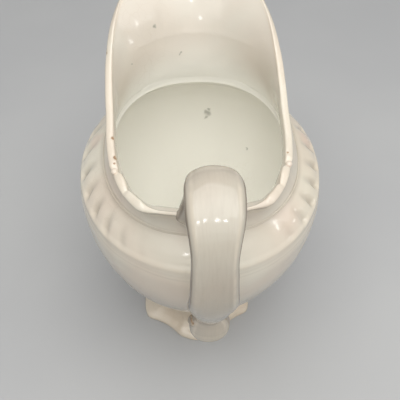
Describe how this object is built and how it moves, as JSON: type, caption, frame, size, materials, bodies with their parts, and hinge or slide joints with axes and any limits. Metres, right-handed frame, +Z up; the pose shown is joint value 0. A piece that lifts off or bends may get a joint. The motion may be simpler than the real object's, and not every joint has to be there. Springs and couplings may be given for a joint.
{
  "type": "cream jug",
  "caption": "Glazed cream jug: oval bowl on a lobed foot, fluted shoulder, open helmet spout and a high strap handle.",
  "frame": {"origin": "middle of the jug's outline on the surface it stands on, at the centre of the foot", "axes": "+Z up, +Y towards the spout, -Y towards the handle, +X to the right seen from the handle"},
  "size_m": [0.1, 0.1472, 0.1537],
  "materials": {
    "foot_glaze": "clear gloss glaze over cream body",
    "bowl_glaze": "clear gloss glaze over cream body",
    "shoulder_glaze": "clear gloss glaze over cream body",
    "bead_glaze": "clear gloss glaze over cream body",
    "spout_glaze": "clear gloss glaze over cream body",
    "scroll_glaze": "clear gloss glaze over cream body",
    "handle_glaze": "clear gloss glaze over cream body",
    "terminal_glaze": "clear gloss glaze over cream body"
  },
  "bodies": {
    "root": {"foot": "foot_glaze", "bowl": "bowl_glaze", "shoulder": "shoulder_glaze", "neck_bead": "bead_glaze", "collar_spout": "spout_glaze", "rim_scrolls": "scroll_glaze", "handle": "handle_glaze", "handle_terminal": "terminal_glaze"}
  },
  "joints": []
}
